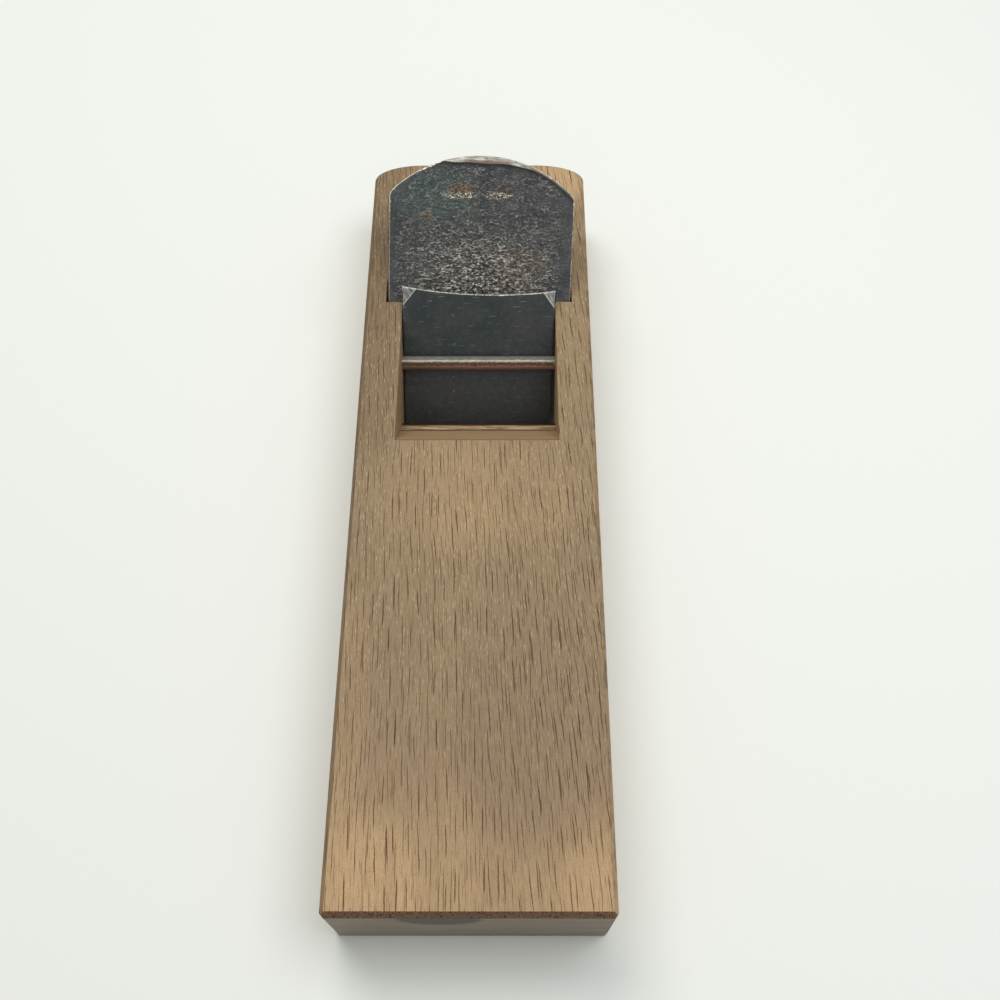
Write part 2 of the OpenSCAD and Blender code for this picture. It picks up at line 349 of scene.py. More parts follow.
def staggered_flecks(x, y, spacing, length, girth, seed):
    """Thin pointed lines along the grain, one to a cell of staggered columns.

    Gives the lines' mask, and a random value from 0 to 1 for each of them.
    """
    finish = x.finish
    most_stagger = 9.0
    column = x // spacing
    stagger = finish.node("TexWhiteNoise", {"noise_dimensions": "2D"}, {"Vector": joined(column, seed, 0.0)})
    run = y / length + stagger * most_stagger
    cell = joined(column, run // 1.0, seed)
    drawn = finish.node("TexWhiteNoise", {"noise_dimensions": "3D"}, {"Vector": cell}, "Color")
    aside, slant, stout = parts_of(drawn)
    along = run % 1.0 * 2.0 - 1.0
    off = x - (column + 0.5) * spacing
    off = off - (aside - 0.5) * spacing * 0.55 - (slant - 0.5) * along * 0.5
    reach = girth * (0.6 + stout * 0.8) * step(abs(along), 0.6 + aside * 0.4, 0.3)
    return step(abs(off), reach, reach * 0.6), stout


def specks(x, y, size, girth, seed):
    """Small round or oval specks, one to a cell of the given size: mask and random value."""
    cell = joined(x / size[0] + seed, y / size[1] + seed, 0.0)
    speck = cell.finish.node("TexVoronoi", {"voronoi_dimensions": "2D"}, {"Vector": cell, "Scale": 1.0})
    chance = parts_of(speck.also("Color"))[0]
    reach = girth * (0.35 + chance)
    return step(speck, reach, reach * 0.55), chance


def spot(x, y, centre, reach, soft=0.9):
    """A round or oval patch about a centre, 1 inside it and 0 outside."""
    off_x = (x - centre[0]) / reach[0]
    off_y = (y - centre[1]) / reach[1]
    return step(off_x * off_x + off_y * off_y, 1.0 + soft * 0.7, 1.0 - soft)


def coat(finish, colour, rough, bump, **others):
    """The surface shader, with any other socket given by its name."""
    inputs = {"Base Color": colour, "Roughness": rough, "Normal": bump}
    inputs.update({name.replace("_", " "): value for name, value in others.items()})
    shader = finish.node("BsdfPrincipled", inputs=inputs)
    finish.node("OutputMaterial", inputs={"Surface": shader})
    return finish.owner


def relief(height, depth_mm):
    """A bump whose height of 1 stands this far out of the surface."""
    return height.finish.node("Bump", inputs={"Height": height, "Distance": depth_mm * mm})


def oak_marks(finish):
    """Where each place on the block is, which way it faces, and the grain there."""
    place = place_mm(finish)
    x, y, z = parts_of(place)
    oak = SimpleNamespace(place=place, x=x, y=y, z=z)
    oak.facing_x, oak.facing_y, oak.facing_z = parts_of(finish.node("NewGeometry", output="Normal"))
    oak.side = step(oak.facing_x * oak.facing_x, 0.45, 0.7)
    oak.near_end = step(y, -45.0, -115.0)

    # The fibres wander, and lean more towards the right-hand side.
    lean = (y + 90.0) * (0.04 + step(x, -10.0, 25.0) * 0.035)
    wander = cloud(place, (34.0, 120.0, 60.0)) * 7.0 + cloud(place, (8.0, 7.0, 8.0), detail=1.0) * 0.4
    grain_x = x + lean + wander
    along_grain = joined(grain_x, y, z)
    oak.fibre = cloud(along_grain, (0.3, 4.0, 0.8), rough=0.6)
    oak.strands = cloud(along_grain, (1.1, 24.0, 2.0))
    oak.bands = cloud(along_grain, (5.0, 90.0, 3.0))
    oak.patches = cloud(place, (22.0, 40.0, 30.0))
    oak.speckle = cloud(place, (0.35, 0.5, 0.35), detail=1.0)
    oak.ragged = (oak.speckle - 0.5) * 0.5 + (cloud(place, 2.2, detail=3.0) - 0.5) * 0.7

    # The rays are cut through as dark flecks of three lengths, and pale dashes.
    waver = grain_x + (cloud(place, (0.8, 1.4, 0.8), detail=1.0) - 0.5) * 0.22
    oak.long_flecks, oak.long_chance = staggered_flecks(waver, y, 2.7, 15.0, 0.14, seed=3.0)
    oak.flecks, oak.fleck_chance = staggered_flecks(waver, y, 2.1, 19.0, 0.11, seed=7.0)
    oak.short_flecks, oak.short_chance = staggered_flecks(waver, y, 1.3, 6.0, 0.08, seed=11.0)
    oak.pale_flecks, oak.pale_chance = staggered_flecks(grain_x, y, 1.0, 2.6, 0.08, seed=17.0)
    return oak


def greyness(oak):
    """How far handling has greyed the top; the near corners have stayed golden."""
    grey = step(oak.y, -148.0, -84.0) * 0.6 + (oak.patches - 0.5) * 0.6 + 0.24

    # Each place's middle, reach and softness, and how much greyer it is, or more golden below 0.
    handled_places = (
        ((-28.0, -132.0), (14.0, 20.0), 1.0, -0.5),
        ((38.0, -134.0), (13.0, 18.0), 1.0, -0.2),
        ((20.0, -88.0), (22.0, 36.0), 0.9, 0.3),
        ((-2.0, -8.0), (34.0, 22.0), 0.9, -0.3),
        ((-40.0, -80.0), (12.0, 44.0), 0.9, -0.3),
        ((34.0, 131.0), (15.0, 13.0), 1.0, -0.95),
    )
    for middle, reach, soft, greyer in handled_places:
        grey = grey + spot(oak.x, oak.y, middle, reach, soft) * greyer
    return step(grey, -0.2, 1.1)


def fleck_top(oak, wood):
    """Draws the rays on the top, stronger about the middle of its right-hand half."""
    busy = spot(oak.x, oak.y, (26.0, -62.0), (22.0, 56.0), soft=1.0)
    pale = oak.pale_flecks * step(oak.pale_chance, 0.5, 0.95) * (1 - oak.near_end * 0.85)
    wood = blend(pale * 0.55, wood, (226, 204, 164))
    short_strength = step(oak.short_chance, 0.25, 0.85) * (0.6 + busy * 0.4)
    wood = blend(oak.short_flecks * short_strength, wood, (88, 58, 34))
    wood = blend(oak.flecks * (0.35 + oak.fleck_chance * 0.5 + busy * 0.3), wood, (82, 53, 30))
    long_brown = blend(oak.near_end, (70, 44, 23), (90, 54, 32))
    return blend(oak.long_flecks * (0.8 + oak.long_chance * 0.2), wood, long_brown)


def top_wood(oak):
    """The planed top and sole, where the grain runs lengthwise."""
    greyed = blend(oak.near_end, (148, 128, 100), (151, 128, 102))
    wood = blend(greyness(oak), (200, 167, 126), greyed)
    left_cheek = step(oak.x, -24.0, -31.0) * step(oak.y, -5.0, 15.0)
    left_cheek = left_cheek * (0.5 + spot(oak.x, oak.y, (-37.0, 80.0), (12.0, 30.0), soft=1.0) * 0.25)
    wood = blend(left_cheek, wood, (120, 100, 74))
    wood = tinted(wood, oak.bands, 0.4, 0.75, 0.3, (150, 124, 94))
    wood = tinted(wood, oak.strands, 0.5, 0.8, 0.3, (122, 101, 74))
    wood = tinted(wood, oak.fibre, 0.45, 0.75, 0.28, (112, 88, 60))
    wood = tinted(wood, oak.fibre, 0.5, 0.25, 0.28, (212, 186, 144))
    wood = tinted(wood, oak.speckle, 0.5, 0.75, 0.28, (102, 76, 50))
    return fleck_top(oak, wood)


def side_wood(oak):
    """The sides are cut along the rays, which show there as low broken sheets."""
    bent_z = oak.z + cloud(oak.place, (9.0, 60.0, 14.0)) * 5.0
    along_side = joined(oak.x, oak.y, bent_z)
    fibre = cloud(along_side, (0.8, 7.0, 0.28), detail=3.0, rough=0.65)
    layers = cloud(along_side, (20.0, 160.0, 1.5), detail=3.0, rough=0.6)
    sheet_place = joined(oak.x * 0.3, oak.y + oak.z * 1.2, oak.z)
    sheets = cloud(sheet_place, (1.0, 5.5, 1.7), detail=3.0, rough=0.6)
    wood = tinted((172, 145, 110), oak.patches, 0.3, 0.7, 0.5, (154, 130, 99))
    wood = tinted(wood, layers, 0.45, 0.7, 0.45, (130, 104, 76))
    wood = tinted(wood, fibre, 0.45, 0.8, 0.6, (108, 84, 58))
    wood = tinted(wood, fibre, 0.5, 0.2, 0.4, (200, 174, 136))
    return tinted(wood, sheets, 0.58, 0.66, 0.3, (196, 168, 130))


def end_grain(oak):
    """Both ends are darker and redder, with rings and open pores."""
    ring = cloud(oak.place, (60.0, 200.0, 3.5), detail=3.0)
    pores, pore_chance = specks(oak.x, oak.z, (0.8, 0.9), 0.3, seed=23.0)
    wood = tinted((124, 96, 72), ring, 0.35, 0.65, 0.6, (102, 78, 58))
    wood = tinted(wood, oak.speckle, 0.4, 0.7, 0.7, (62, 42, 30))
    wood = blend(pores * pore_chance, wood, (52, 38, 29))
    return blend(oak.long_flecks * 0.3, wood, (140, 112, 88))


def sealed_end(oak):
    """The near end's face is sealed with a smooth grey coat, smudged at the top."""
    streaks = cloud(oak.place, (16.0, 9.0, 1.1), detail=3.0, rough=0.6)
    smudge = spot(oak.x + oak.ragged * 3.0, oak.z + oak.ragged * 2.0, (-8.0, 32.5), (11.5, 9.5), soft=0.2)
    sealed = blend(step(streaks, 0.3, 0.7), (117, 105, 90), (133, 120, 103))
    sealed = tinted(sealed, oak.speckle, 0.5, 0.8, 0.3, (98, 87, 74))
    return blend(smudge * 0.95, sealed, (66, 62, 57))


def in_throat(oak):
    """1 on the cut walls of the throat and the mouth, and 0 on the block's outside."""
    between_ends = step(oak.y, 6.0, 9.0) * step(oak.y, 100.0, 90.0)
    below_top = step(oak.z, 35.9, 35.6)
    between_sides = step(oak.x * oak.x, 35.0 ** 2, 34.0 ** 2)
    off_sole = step(oak.facing_z, -0.97, -0.9)
    return between_ends * below_top * between_sides * off_sole


def throat_wood(oak):
    """The throat's cut walls are smoother than the top.

    The chisel left the short slope above the mouth streaky, with a brown line
    where the long one begins and shadow at its foot.
    """
    sloped = 1 - oak.side
    smooth = blend(cloud(oak.place, (14.0, 2.5, 2.5), detail=3.0), (144, 120, 88), (174, 146, 110))
    cheeks = blend(oak.fibre, (146, 122, 92), (190, 162, 126))
    chiselled = cloud(joined(oak.x, oak.y - oak.z, 0.0), (11.0, 1.7, 1.0), detail=3.0, rough=0.65)
    short_slope = step(oak.y, 23.2, 24.2) * step(oak.y, 31.0, 30.0) * sloped
    streaky = blend(step(chiselled, 0.4, 0.6), (140, 106, 77), (210, 184, 150))
    bent_y = oak.y + (chiselled - 0.5) * 1.4
    knee_line = step(bent_y, 23.0, 23.4) * step(bent_y, 24.7, 24.2) * sloped
    cut = blend(oak.side, smooth, cheeks)
    cut = blend(short_slope, cut, streaky)
    cut = blend(knee_line * 0.9, cut, (76, 46, 28))
    return blend(step(oak.y, 27.4, 28.6) * short_slope, cut, (36, 25, 16))


def darken_long_arrises(oak, wood):
    """The long arrises are painted dark as shade where they turn down from the top, and rubbed pale in
    patches on the right.
    """
    across, along = abs(oak.facing_x), abs(oak.facing_y)
    turning = step(across, 0.2, 0.45) * step(across, 0.97, 0.85)
    long_arris = turning * step(oak.facing_z, 0.05, 0.2) * step(along, 0.3, 0.15)
    rubbed = cloud(oak.place, (2.0, 6.0, 2.0), detail=3.0, rough=0.6)
    rubbed = step(rubbed, 0.35, 0.62) * step(oak.x, -10.0, 10.0)
    # Painted shade: the arrises' dark brown, with the pale rubbed patches over it on the right.
    return blend(long_arris * 0.6, wood, blend(rubbed, (102, 84, 64), (176, 146, 110)))


def oak_finish():
    finish = material("oiled_oak")
    oak = oak_marks(finish)
    coated = step(oak.facing_y, -0.9, -0.97)
    ends = abs(oak.facing_y) + oak.ragged * 0.3
    end_arris = step(ends, 0.12, 0.25) * step(abs(oak.facing_y), 0.68, 0.5) * step(oak.z, 30.0, 33.0)
    wood = blend(oak.side, top_wood(oak), side_wood(oak))
    wood = blend(step(ends, 0.3, 0.42), wood, end_grain(oak))
    wood = blend(end_arris * 0.75, wood, (72, 50, 36))
    wood = blend(coated, wood, sealed_end(oak))
    wood = blend(in_throat(oak) * 0.9, wood, throat_wood(oak))
    wood = darken_long_arrises(oak, wood)

    bare_wood = (1 - coated) * (1 - oak.side)
    hollows = oak.long_flecks * 0.8 + oak.flecks * 0.6 + oak.short_flecks * 0.4
    bump = relief((1 - hollows) * bare_wood + oak.fibre * 0.5 * (1 - coated), 0.03)
    rough = 0.62 - oak.long_flecks * bare_wood * 0.1 - coated * 0.1
    return coat(finish, wood, rough, bump, IOR=1.45, Specular_IOR_Level=0.25)


add_piece(build_block(), "block", oak_finish(), "block")


# The blade is forged from two metals: a soft iron body, left rough and black
# from the fire on its domed head, and a thin layer of hard steel welded to its
# face at the cutting end. It wedges in the grooves of the block, bevel down.

# Its sizes are in millimetres, measured up its face from the cutting edge.
blade_half = 32.45  # half its width at the head
blade_edge_half = 31.4  # and at the cutting edge
blade_narrow_up = 56.0  # where it begins to narrow
blade_long = 103.4
crown_radius = 46.5
shoulder_radius = 4.0
blade_cant = radians(1.8)  # how far it sits aslant in the grooves
blade_shift = -1.5
blade_edge_thick = 4.5
blade_taper = radians(2.0)
blade_bevel = radians(28.0)
blade_heel = 9.06  # where the bevel meets the back
crest_left = (-16.0, -8.0)  # where the struck edge begins, coming from the left
crest_width = 1.7
crest_more = 1.15  # how much wider it is in the middle
crest_slope = 0.6
mouth_half = 27.2  # half the width of the cutting edge, where it passes the mouth
corner_long = 9.0  # how far up the edge's corners are ground away
steel_thick = 1.9
steel_ramp = (44.3, 50.0)  # where the steel layer thins out into the iron
head_from = 50.0  # above this the face is rough from forging
least_round = 0.0001  # the radius of an edge that is left sharp

# The blade's face starts at its cutting edge, in the middle of the throat.
face_tilt = radians(42.0)
throat_aside = 0.5 * mm
edge_place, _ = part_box("blade_steel")
face_foot = Vector((throat_aside, edge_place.y, edge_place.z))


def off_face(across, up, out):
    """From places on the blade's face, in millimetres, to places in the scene."""
    return np.stack(
        [
            face_foot.x + across * mm,
            face_foot.y + (up * cos(face_tilt) - out * sin(face_tilt)) * mm,
            face_foot.z + (up * sin(face_tilt) + out * cos(face_tilt)) * mm,
        ],
        axis=-1,
    )


def ease(value, low, high):
    """The same smooth rise as step gives, on plain numbers."""
    t = np.clip((value - low) / (high - low), 0, 1)
    return t * t * (3 - 2 * t)


def value_noise(across, up, size, seed):
    """Smooth noise between -1 and 1 over a face, the same on every run."""
    cells = 64
    knots = np.random.default_rng(seed).uniform(-1, 1, (cells, cells))
    s, t = across / size[0], up / size[1]
    left, low = np.floor(s).astype(int), np.floor(t).astype(int)
    share_s, share_t = ease(s - left, 0, 1), ease(t - low, 0, 1)

    def knot(i, j):
        return knots[(left + i) % cells, (low + j) % cells]

    bottom = knot(0, 0) * (1 - share_s) + knot(1, 0) * share_s
    top = knot(0, 1) * (1 - share_s) + knot(1, 1) * share_s
    return bottom * (1 - share_t) + top * share_t


def rim_walk(rows, columns):
    """Rows and columns of a grid's outermost places, walked round it once."""
    rim = [(0, column) for column in range(columns)]
    rim += [(row, columns - 1) for row in range(1, rows)]
    rim += [(rows - 1, column) for column in range(columns - 2, -1, -1)]
    rim += [(row, 0) for row in range(rows - 2, 0, -1)]
    return tuple(np.array(side) for side in zip(*rim))


def rim_rings(seat, edge, top, bottom, radius):
    """Rings of points that carry the rim round from the top face to the bottom one."""
    down, upwards = -1, 1
    rings = []
    for face, way, turns in ((top, down, (30, 60, 90)), (bottom, upwards, (90, 60, 30))):
        for turn in turns:
            reach, drop = sin(radians(turn)), 1 - cos(radians(turn))
            across, up = seat + (edge - seat) * reach
            rings.append(np.stack([across, up, face(across, up) + way * radius * drop], -1))
    return rings


def slab_faces(loops, rows, columns):
    """Faces of the two grids, and of the bands between one loop of points and the next."""
    count = rows * columns
    cells = np.arange(count).reshape(rows, columns)
    corners = [cells[:-1, :-1], cells[:-1, 1:], cells[1:, 1:], cells[1:, :-1]]
    top_faces = np.stack(corners, -1).reshape(-1, 4)
    faces = [top_faces, top_faces[:, ::-1] + count]
    for upper, lower in zip(loops, loops[1:]):
        faces.append(np.stack([np.roll(upper, -1), upper, lower, np.roll(lower, -1)], -1))
    return np.concatenate(faces).tolist()


def slab_mesh(name, points, faces, marks):
    """A mesh from places on the blade's face, with its marks, its doubled points made one."""
    mesh = bpy.data.meshes.new(name)
    mesh.from_pydata(off_face(*points.T).tolist(), [], faces)
    for mark_name, values in marks.items():
        attribute = mesh.attributes.new(mark_name, "FLOAT", "POINT")
        attribute.data.foreach_set("value", values.astype(np.float32))
    shape = bmesh.new()
    shape.from_mesh(mesh)
    bmesh.ops.remove_doubles(shape, verts=shape.verts, dist=1e-6)
    bmesh.ops.dissolve_degenerate(shape, edges=shape.edges, dist=1e-7)
    shape.to_mesh(mesh)
    shape.free()
    return mesh


def forged_slab(name, plan, top, bottom, rounding, marks):
    """A closed plate: a fine grid on each face and a rounded rim between them.

    plan(inset) gives the grid's places, drawn in from the outline by inset;
    top and bottom give the faces' heights there, rounding the rim's radius, and
    marks what the finish needs to know. The rim's upper half is marked as worn.
    """
    across, up = plan(0.0)
    rows, columns = across.shape
    rim = rim_walk(rows, columns)
    edge = np.stack([across[rim], up[rim]])
    thick = top(*edge) - bottom(*edge)
    radius = np.minimum(rounding(*edge), thick * 0.3)
    largest = float(radius.max())
    across, up = plan(largest)
    inner = np.stack([across[rim], up[rim]])
    seat = edge + (inner - edge) * (radius / largest)
    across[rim], up[rim] = seat
    sheets = [np.stack([across, up, face(across, up)], -1).reshape(-1, 3) for face in (top, bottom)]
    rings = rim_rings(seat, edge, top, bottom, radius)
    points = np.concatenate(sheets + rings)

    count, round_rim = rows * columns, len(rim[0])
    rim_points = np.arange(count).reshape(rows, columns)[rim]
    loops = [rim_points]
    loops += [2 * count + ring * round_rim + np.arange(round_rim) for ring in range(len(rings))]
    loops += [rim_points + count]
    worn = np.zeros(len(points))
    worn[loops[0]] = 0.5
    worn[np.concatenate(loops[1:4])] = 1.0
    return slab_mesh(name, points, slab_faces(loops, rows, columns), dict(marks(points), worn=worn))


def head_line(inset):
    """The head's outline from shoulder to shoulder, over the crown."""
    crown_columns, shoulder_columns = 220, 7
    corner = blade_half - shoulder_radius
    rise = ((crown_radius - shoulder_radius) ** 2 - corner ** 2) ** 0.5
    meet = np.arctan2(rise, corner)
    dome = blade_long - crown_radius
    crown = np.linspace(-1, 1, crown_columns) * cos(meet)
    bend = np.linspace(meet, 0, shoulder_columns)[1:]
    shoulder = corner + (shoulder_radius - inset) * np.cos(bend)
    shoulder_up = dome + rise + (shoulder_radius - inset) * np.sin(bend)
    crown_up = dome + (crown_radius - inset) * np.sqrt(1 - crown ** 2)
    across = np.concatenate([-shoulder[::-1], crown * (crown_radius - inset), shoulder])
    up = np.concatenate([shoulder_up[::-1], crown_up, shoulder_up])
    return across, -across * sin(blade_cant) + up * cos(blade_cant)


def blade_plan(inset):
    """Grid over the iron body, from its thin foot up to the domed head."""
    head_across, head_up = head_line(inset)
    foot = steel_thick / tan(blade_bevel)
    bevel_rows = np.linspace(foot, blade_heel, 4)
    flat_rows = np.linspace(13, steel_ramp[0], 9)
    low_rows = np.concatenate([bevel_rows, flat_rows, [47.0, head_from]])
    head_rows = np.linspace(0, 1, 190)[1:]
    low_up = np.repeat(low_rows[:, None], len(head_across), 1)
    high_up = head_from + head_rows[:, None] * (head_up - head_from)[None, :]
    up = np.concatenate([low_up, high_up])
    across = np.repeat(head_across[None, :], len(up), 0)

    # Narrow it towards the edge, lay it aslant and grind the edge's corners away.
    square = up / cos(blade_cant) + across * tan(blade_cant)
    narrowing = (blade_half - blade_edge_half) * np.clip(1 - square / blade_narrow_up, 0, 1)
    across = across * (1 - narrowing / blade_half)
    across = across * cos(blade_cant) + square * sin(blade_cant) + blade_shift
    ground = mouth_half + np.clip(up, 0, corner_long) * (blade_edge_half - mouth_half) / corner_long
    side = np.where(across > 0, across[:, -1:], -across[:, :1])
    limit = np.where(up < corner_long, ground, np.inf)
    return across * np.minimum(1, limit / side), up


def blade_head(across, up):
    """Places in the blade's own upright frame, before it was canted."""
    own = across - blade_shift
    return own * cos(blade_cant) - up * sin(blade_cant), own * sin(blade_cant) + up * cos(blade_cant)


def rough_zone(x, y):
    """How strongly the head's face is hammered, and where its ridges are worn bright."""
    border = ease(np.abs(x + 1), 30.5, 26.5) * ease(y, 101.0, 98.5)
    deep = np.exp(-((x + 1) / 21) ** 2 - (np.maximum(y - 62, 0) / 12) ** 2) * border
    return 0.3 + border * (0.4 + 0.3 * deep), deep


def hammered(x, y):
    """Height of the forged face, from 0 in a pit to 1 on one of its linked ridges."""
    bent_x = x + 0.6 * value_noise(x, y, (2.2, 2.2), seed=8)
    bent_y = y + 0.35 * value_noise(x, y, (2.0, 2.0), seed=5)
    coarse = np.clip(1 - np.abs(value_noise(bent_x, bent_y, (1.9, 0.9), seed=11)) * 2.3, 0, 1)
    fine = np.clip(1 - np.abs(value_noise(bent_x, bent_y, (1.0, 0.7), seed=23)) * 2.2, 0, 1)
    return 0.6 * coarse + 0.4 * fine


def blade_relief(across, up):
    """How far the forged face lies below the flat one: its pits, and slow dents."""
    x, y = blade_head(across, up)
    rough, _ = rough_zone(x, y)
    dents = value_noise(x, y, (7.0, 6.0), seed=31)
    return rough * 0.3 * (hammered(x, y) - 0.95) + 0.05 * dents - 0.05


def past_crest(x, y):
    """How far a place lies past the line where the struck edge begins to fall away."""
    from_middle = np.hypot(x, np.maximum(y - blade_long + crown_radius, 0))
    width = crest_width * ease(x, *crest_left) * (1 - 0.45 * ease(x, 12, 20))
    width = width + crest_more * np.exp(-((x - 1) / 7) ** 2)
    return from_middle - crown_radius + width


def blade_top(across, up):
    x, y = blade_head(across, up)
    iron = -steel_thick * (1 - np.clip((up - steel_ramp[0]) / (steel_ramp[1] - steel_ramp[0]), 0, 1))
    past = past_crest(x, y)
    lip = 0.12 * ease(past, 0.1, 0.5) * (1 + value_noise(x, y, (2.4, 1.2), seed=41))
    struck = crest_slope * np.maximum(past, 0) + lip
    forged = ease(up, head_from + 1, head_from + 4) * ease(past, 0.1, -0.4)
    return iron - struck + blade_relief(across, up) * forged


def blade_bottom(across, up):
    back = -(blade_edge_thick + up * tan(blade_taper))
    bevel = -up * tan(blade_bevel)
    scale = 0.1 * ease(up, 12, 20) * (1 + value_noise(across, up, (9.0, 8.0), seed=53)) / 2
    return np.maximum(back, bevel) + scale


def blade_rounding(across, up):
    """The rim's radius: sharp by the steel, nicked round the head where it is struck."""
    x, y = blade_head(across, up)
    small_nicks = value_noise(across, up, (1.1, 1.1), seed=61)
    nick = small_nicks + value_noise(across, up, (4.0, 4.0), seed=67) * 0.5
    battered = (ease(x, 8.0, 16.0) + ease(x, -14.0, -20.0) * 0.5) * ease(y, 84.0, 88.0)
    return (0.42 + np.clip(nick, 0, 1) * (0.25 + 0.6 * battered)) * ease(up, 48, 53) + least_round


def blade_marks(points):
    """How high, how hammered and how bright each place of the face is, and what is struck."""
    across, up, out = points.T
    x, y = blade_head(across, up)
    rough, deep = rough_zone(x, y)
    on_face = (out > -1.5) & (up > head_from)
    crest = np.where(out > -7.0, past_crest(x, y), 0)
    height = hammered(x, y) * on_face
    return {"height": height, "rough": rough * on_face, "deep": deep * on_face, "crest": crest}


def mark(finish, name):
    """What the mesh says of its points under this name."""
    return finish.node("Attribute", {"attribute_name": name}, output="Fac")


def face_place(finish):
    """Across, up and out of the blade's face, in millimetres, from the cutting edge."""
    x, y, z = parts_of(place_mm(finish))
    x = x - face_foot.x / mm
    y = y - face_foot.y / mm
    z = z - face_foot.z / mm
    up = y * cos(face_tilt) + z * sin(face_tilt)
    return x, up, z * cos(face_tilt) - y * sin(face_tilt)


def iron_marks(finish):
    """Where each place on the iron body is, and how hammered, worn or struck it is."""
    place = place_mm(finish)
    across, up, out = face_place(finish)
    x, y = blade_head(across, up)
    iron = SimpleNamespace(place=place, across=across, up=up, out=out, x=x, y=y)
    iron.deep, iron.worn, iron.crest = (mark(finish, name) for name in ("deep", "worn", "crest"))
    iron.speckle = cloud(place, 0.45, rough=0.6)
    iron.patches = cloud(place, 6.0, detail=3.0)
    twist = (iron.speckle - 0.5) * 0.8
    dash_place = joined(x + twist, y + twist * 0.4, out)
    dashes = cloud(dash_place, (0.85, 0.42, 0.5), detail=1.5, rough=0.55)
    iron.dashes = step(dashes, 0.4, 0.6)
    iron.uneven = mark(finish, "height") * 0.45 + iron.dashes * 0.5 + (iron.speckle - 0.5) * 0.25
    calm = (1 - iron.deep) * step(cloud(place, (3.4, 2.6, 2.6)), 0.4, 0.62)
    iron.rough = mark(finish, "rough") * (1 - calm * 0.55)
    iron.front = step(out, -2.4, -1.6)
    iron.struck = step(iron.crest, 0.0, 0.3)
    return iron


def fire_scale(iron):
    """Scale from the fire: grey, green to the left and brown to the right, paler low down."""
    green_part = spot(iron.across, iron.up, (-15.0, 90.0), (15.0, 10.0))
    brown_part = spot(iron.across, iron.up, (13.0, 65.0), (11.0, 8.0))
    pits = step(iron.uneven, 0.4, 0.12) * (iron.rough * 0.75 + iron.deep * 0.25)
    ridges = step(iron.uneven, 0.5, 0.85) * (iron.rough * 0.4 + iron.deep * 0.56)
    scale = blend(step(iron.patches, 0.3, 0.7), (58, 60, 63), (78, 79, 78))
    scale = blend(green_part * iron.front * 0.5, scale, (76, 93, 88))
    scale = blend(iron.deep * 0.6, scale, (112, 108, 101))
    scale = blend(brown_part * iron.front * 0.45, scale, (112, 98, 86))
    scale = blend(pits, scale, (26, 26, 27))
    return blend(ridges, scale, (212, 205, 192))


def rust_patches(iron, scale):
    """Three faint patches of rust, with bright chips along the lower side of two."""
    soft_x = iron.across + (iron.speckle - 0.5) * 5.0
    soft_y = iron.up + (iron.speckle - 0.5) * 4.0
    rust = spot(soft_x, soft_y, (-5.6, 92.3), (5.0, 2.0), soft=0.8)
    rust = rust + spot(soft_x, soft_y, (8.6, 91.6), (3.4, 2.0), soft=0.8) * 0.5
    rust = rust + spot(soft_x, soft_y, (-18.0, 83.4), (2.2, 1.6), soft=0.8) * 0.6
    redder = blend(step(iron.uneven, 0.2, 0.6), (72, 56, 46), (130, 103, 80))
    scale = blend(rust * iron.front * 0.75, scale, redder)
    chipped = step(cloud(iron.place, (0.6, 0.42, 0.42), rough=0.6), 0.54, 0.62)
    flake = spot(soft_x, iron.up, (-6.0, 90.0), (6.6, 1.2), soft=0.7)
    flake = flake + spot(soft_x, iron.up, (7.4, 89.8), (4.8, 1.2), soft=0.7)
    return blend(step(flake, 0.1, 0.8) * chipped * iron.front * 0.95, scale, (232, 216, 190))


def struck_edge(iron):
    """The struck edge is bare and dull, rusty at its foot and dark on the back."""
    drawn_place = joined(iron.x * 0.3, iron.crest, iron.out)
    drawn = cloud(drawn_place, (1.0, 0.4, 0.8), detail=3.0, rough=0.6)
    grubby = cloud(iron.place, 2.2)
    rusty_foot = step(iron.crest, 1.5, 0.8) * step(abs(iron.x - 2.0), 10.0, 6.0) * step(iron.out, -2.2, -1.8)
    bare = blend(step(drawn, 0.3, 0.7), (112, 110, 103), (198, 194, 183))
    bare = tinted(bare, grubby, 0.45, 0.7, 0.5, (104, 96, 86))
    bare = blend(rusty_foot * 0.8, bare, (92, 68, 56))
    bare = tinted(bare, iron.out, -2.4, -3.6, 0.85, blend(grubby, (62, 60, 58), (112, 106, 98)))
    return tinted(bare, iron.x, 12.0, 18.0, 0.75, (84, 74, 65))


def forged_iron_finish():
    finish = material("forged_iron_scale")
    iron = iron_marks(finish)
    metal = rust_patches(iron, fire_scale(iron))
    shadow = step(iron.crest, -2.0, -0.15) * step(iron.crest, 0.3, 0.1) * step(iron.x, -18.0, -14.0)
    metal = blend(shadow * 0.75, metal, (34, 29, 32))
    metal = blend(iron.struck, metal, struck_edge(iron))

    # The rim is chipped bright, most of all round the arc of the head.
    chips = step(cloud(iron.place, 0.9, detail=3.0, rough=0.65), 0.38, 0.56)
    bright = step(iron.worn, 0.7, 0.94) * (0.3 + chips * 0.7) * step(iron.up, 52.0, 55.0)
    bright = bright * (0.55 + step(iron.y, 82.0, 86.0) * 0.45)
    bright = bright * (1 - iron.struck * step(iron.x, 16.0, 10.0) * 0.75)
    metal = blend(bright, metal, (220, 210, 198))
    grit = cloud(iron.place, 0.25) * 0.6
    bump = relief(iron.speckle + iron.dashes * iron.rough * 0.8 + grit, 0.04)
    rough = 0.6 - bright * 0.2 - iron.struck * 0.05 + (iron.patches - 0.5) * 0.15
    return coat(finish, metal, rough, bump, Metallic=0.5)


iron_mesh = forged_slab("blade_iron_body", blade_plan, blade_top, blade_bottom, blade_rounding, blade_marks)
add_piece(iron_mesh, "blade", forged_iron_finish(), "blade_iron")


